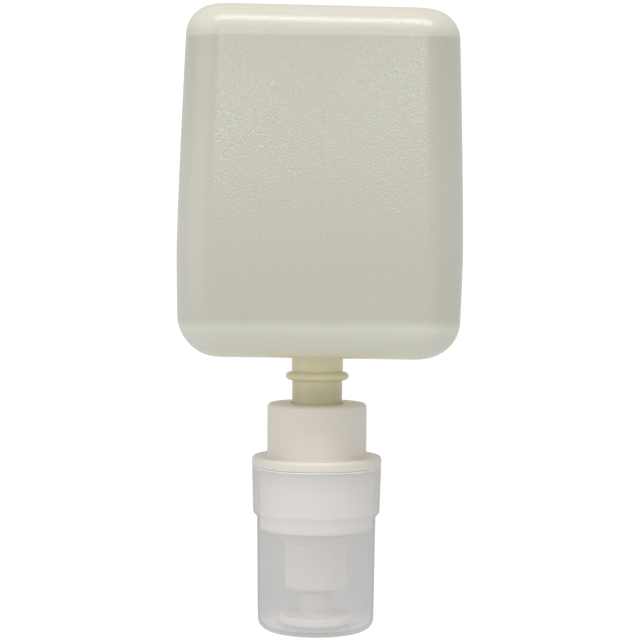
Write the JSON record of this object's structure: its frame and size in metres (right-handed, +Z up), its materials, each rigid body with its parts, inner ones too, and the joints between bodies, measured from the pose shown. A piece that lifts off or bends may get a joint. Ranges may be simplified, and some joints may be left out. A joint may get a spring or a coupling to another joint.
{
  "type": "hand soap refill pack",
  "caption": "Upside-down blow-moulded soap bottle with a foam pump at its neck, under a clear pull-off cap.",
  "frame": {"origin": "middle of the protective cap's flat base", "axes": "+Z up along the pump's axis towards the bottle, +X along the bottle's width, +Y along its depth, away from its front face"},
  "size_m": [0.107, 0.0846, 0.2398],
  "materials": {
    "bottle_plastic": "translucent natural polyethylene, finely grained",
    "soap": "cloudy liquid soap",
    "white_plastic": "satin moulded polypropylene",
    "natural_plastic": "uncoloured moulded polyethylene",
    "clear_plastic": "translucent moulded polypropylene",
    "silicone": "uncoloured silicone",
    "nylon_mesh": "fine woven nylon",
    "steel": "bright stainless wire"
  },
  "bodies": {
    "pack": {"bottle": "bottle_plastic", "soap_fill": "soap", "pump_housing": "white_plastic", "neck_seal": "silicone", "cylinder_seal": "silicone", "pump_cylinder": "white_plastic", "inlet_valve": "silicone", "return_spring": "steel", "cylinder_cover": "white_plastic", "guide_bush": "white_plastic"},
    "actuator": {"nozzle": "white_plastic", "mesh_lower": "nylon_mesh", "mesh_holder": "white_plastic", "mesh_upper": "nylon_mesh", "piston_rod": "white_plastic", "outlet_ball": "steel", "soap_piston": "natural_plastic", "air_piston": "natural_plastic", "air_outlet_ring": "silicone", "air_inlet_flap": "silicone"},
    "cap": {"protective_cap": "clear_plastic"}
  },
  "joints": [
    {"name": "nozzle_press", "type": "slide", "parent": "pack", "child": "actuator", "axis": [0, 0, 1], "range_m": [0, 0.009], "stiffness_N_per_m": 500, "springref_m": -0.006, "deforming": ["return_spring"]},
    {"name": "cap_pull_off", "type": "slide", "parent": "pack", "child": "cap", "axis": [0, 0, -1], "range_m": [0, 0.066]}
  ]
}
